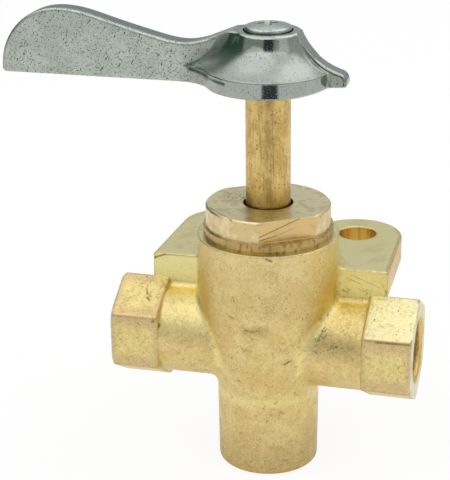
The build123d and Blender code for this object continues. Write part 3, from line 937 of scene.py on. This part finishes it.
def lay_floor(settings):
    """Square of pale paper under the foot. The camera and reflections see it mostly by its own white, and the rest by
    the light that falls on it."""
    finish = Finish("paper_floor")
    paper = finish.node("ShaderNodeBsdfDiffuse", None, {"Color": (*settings.floor, 1)})["BSDF"]
    white = finish.node("ShaderNodeEmission", None, {"Color": (1, 1, 1, 1), "Strength": FLOOR_WHITE})["Emission"]
    ray = finish.node("ShaderNodeLightPath")
    seen = ray["Is Camera Ray"] * FLOOR_SEEN_BY_CAMERA | ray["Is Glossy Ray"] * FLOOR_SEEN_IN_REFLECTIONS
    both = finish.node("ShaderNodeMixShader", None, {0: seen, 1: paper, 2: white})["Shader"]
    finish.node("ShaderNodeOutputMaterial", None, {"Surface": both})
    corners = FLOOR_HALF * np.array([[-1, -1, 0], [1, -1, 0], [1, 1, 0], [-1, 1, 0]])
    put_mesh("floor", corners, [[0, 1, 2, 3]], finish.material)


def hide_from_all_but_reflections(piece):
    """Let only reflections see a piece of the stage."""
    for ray in ("camera", "diffuse", "transmission", "shadow"):
        setattr(piece, "visible_" + ray, False)


def hang_curtain():
    """Cloth all round that only reflections see: a ring about the stem, carried straight up. It is grey in front and
    behind, nearly black with a little green on the left and paler on the right. Its angles are in radians from the
    front, growing to the right."""
    f = Finish("grey_curtain")
    angle = f.node("ShaderNodeMath", {"operation": "ARCTAN2"}, {0: f.x, 1: 0 - f.y})["Value"]
    front, right = (0.35, 0.36, 0.345), (0.48, 0.50, 0.485)
    back, left = (0.45, 0.47, 0.48), (0.05, 0.105, 0.075)
    shade = f.coats(
        front,
        (right, angle.rise(0.5, 1.0)),
        (back, abs(angle).rise(2.3, 2.5)),
        (left, angle.rise(-2.45, -2.30) & angle.rise(-1.20, -1.28)),
    )
    turn = np.linspace(0, 2 * np.pi, CURTAIN_STEPS, endpoint=False)
    ring = np.stack([np.sin(turn), -np.cos(turn), np.zeros(CURTAIN_STEPS)], -1)
    points = np.concatenate([ring, ring + (0, 0, CURTAIN_HEIGHT)])
    first = np.arange(CURTAIN_STEPS)
    after = (first + 1) % CURTAIN_STEPS
    faces = np.stack([first, first + CURTAIN_STEPS, after + CURTAIN_STEPS, after], -1).tolist()
    hide_from_all_but_reflections(put_mesh("curtain", points, faces, f.glow(shade)))


def stand_camera_block():
    """Dark shape of a camera on its stand, as reflections see it: a strip on the floor and a plate at the lens."""
    black = Finish("camera_block").glow((0.025, 0.042, 0.05, 1))
    across = np.array([0.964, 0.265, 0])
    strip = [[0.055, -0.19, 0.001], [0.125, -0.42, 0.001]]
    plate = [[0.081, -0.30, 0.170], [0.081, -0.30, 0.310]]
    line = np.array(strip + plate)
    half = np.array([0.07, 0.09, 0.09, 0.09])[:, None] * across
    points = np.concatenate([line - half, line + half])
    hide_from_all_but_reflections(put_mesh("camera_block", points, [[0, 1, 5, 4], [2, 3, 7, 6]], black))


def soft_box(name, place, size, power):
    """Square area lamp that looks at the middle of the part."""
    lamp = bpy.data.lights.new(name, "AREA")
    lamp.size = size
    lamp.energy = power
    box = bpy.data.objects.new(name, lamp)
    box.location = place
    box.rotation_mode = "QUATERNION"
    box.rotation_quaternion = (LAMP_AIM - Vector(place)).to_track_quat("-Z", "Y")
    bpy.context.scene.collection.objects.link(box)


def white_room():
    """White surroundings for the camera and for reflections, and a softer light on the object."""
    world = bpy.data.worlds.new("white_room")
    world.use_nodes = True
    bpy.context.scene.world = world
    room = Shader(world.node_tree)
    ray = room.node("ShaderNodeLightPath")
    seen = ray["Is Camera Ray"] | ray["Is Glossy Ray"] | ray["Is Transmission Ray"]
    level = room.node("ShaderNodeMapRange", None, {"Value": seen, "To Min": ROOM_LIGHT})["Result"]
    sky = room.node("ShaderNodeBackground", None, {"Color": (1, 1, 1, 1), "Strength": level})["Background"]
    room.node("ShaderNodeOutputWorld", None, {"Surface": sky})


# Add-on

class VALVE_PT_pieces(bpy.types.Panel):
    """Lists the valve's pieces and settings"""

    bl_label = "Three-way valve"
    bl_idname = "VALVE_PT_pieces"
    bl_space_type = "VIEW_3D"
    bl_region_type = "UI"
    bl_category = "Valve"

    def draw(self, context):
        settings = context.scene.valve
        for operator in OPERATORS:
            self.layout.operator(operator.bl_idname)
        for group in (settings.finishes, settings.threads, settings.stage):
            box = self.layout.box()
            for key in group.__annotations__:
                box.prop(group, key)


OPERATORS = (
    VALVE_OT_cast_body,
    VALVE_OT_gland_nut,
    VALVE_OT_stem,
    VALVE_OT_lever,
    VALVE_OT_seals,
    VALVE_OT_port_threads,
    VALVE_OT_stage,
)
GROUPS = (ValveFinishes, ValveThreads, ValveStage, ValveSettings)


def register():
    """Register the classes and hang the settings on the scene."""
    for cls in (*GROUPS, *OPERATORS, VALVE_PT_pieces):
        bpy.utils.register_class(cls)
    bpy.types.Scene.valve = PointerProperty(type=ValveSettings)


def unregister():
    """Take the settings and the classes away again."""
    del bpy.types.Scene.valve
    for cls in (VALVE_PT_pieces, *reversed(OPERATORS), *reversed(GROUPS)):
        bpy.utils.unregister_class(cls)


def main():
    """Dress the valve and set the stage."""
    register()
    bpy.ops.valve.cast_body()
    bpy.ops.valve.gland_nut()
    bpy.ops.valve.stem()
    bpy.ops.valve.lever()
    bpy.ops.valve.seals()
    bpy.ops.valve.port_threads()
    bpy.ops.valve.stage()


if __name__ == "__main__":
    main()
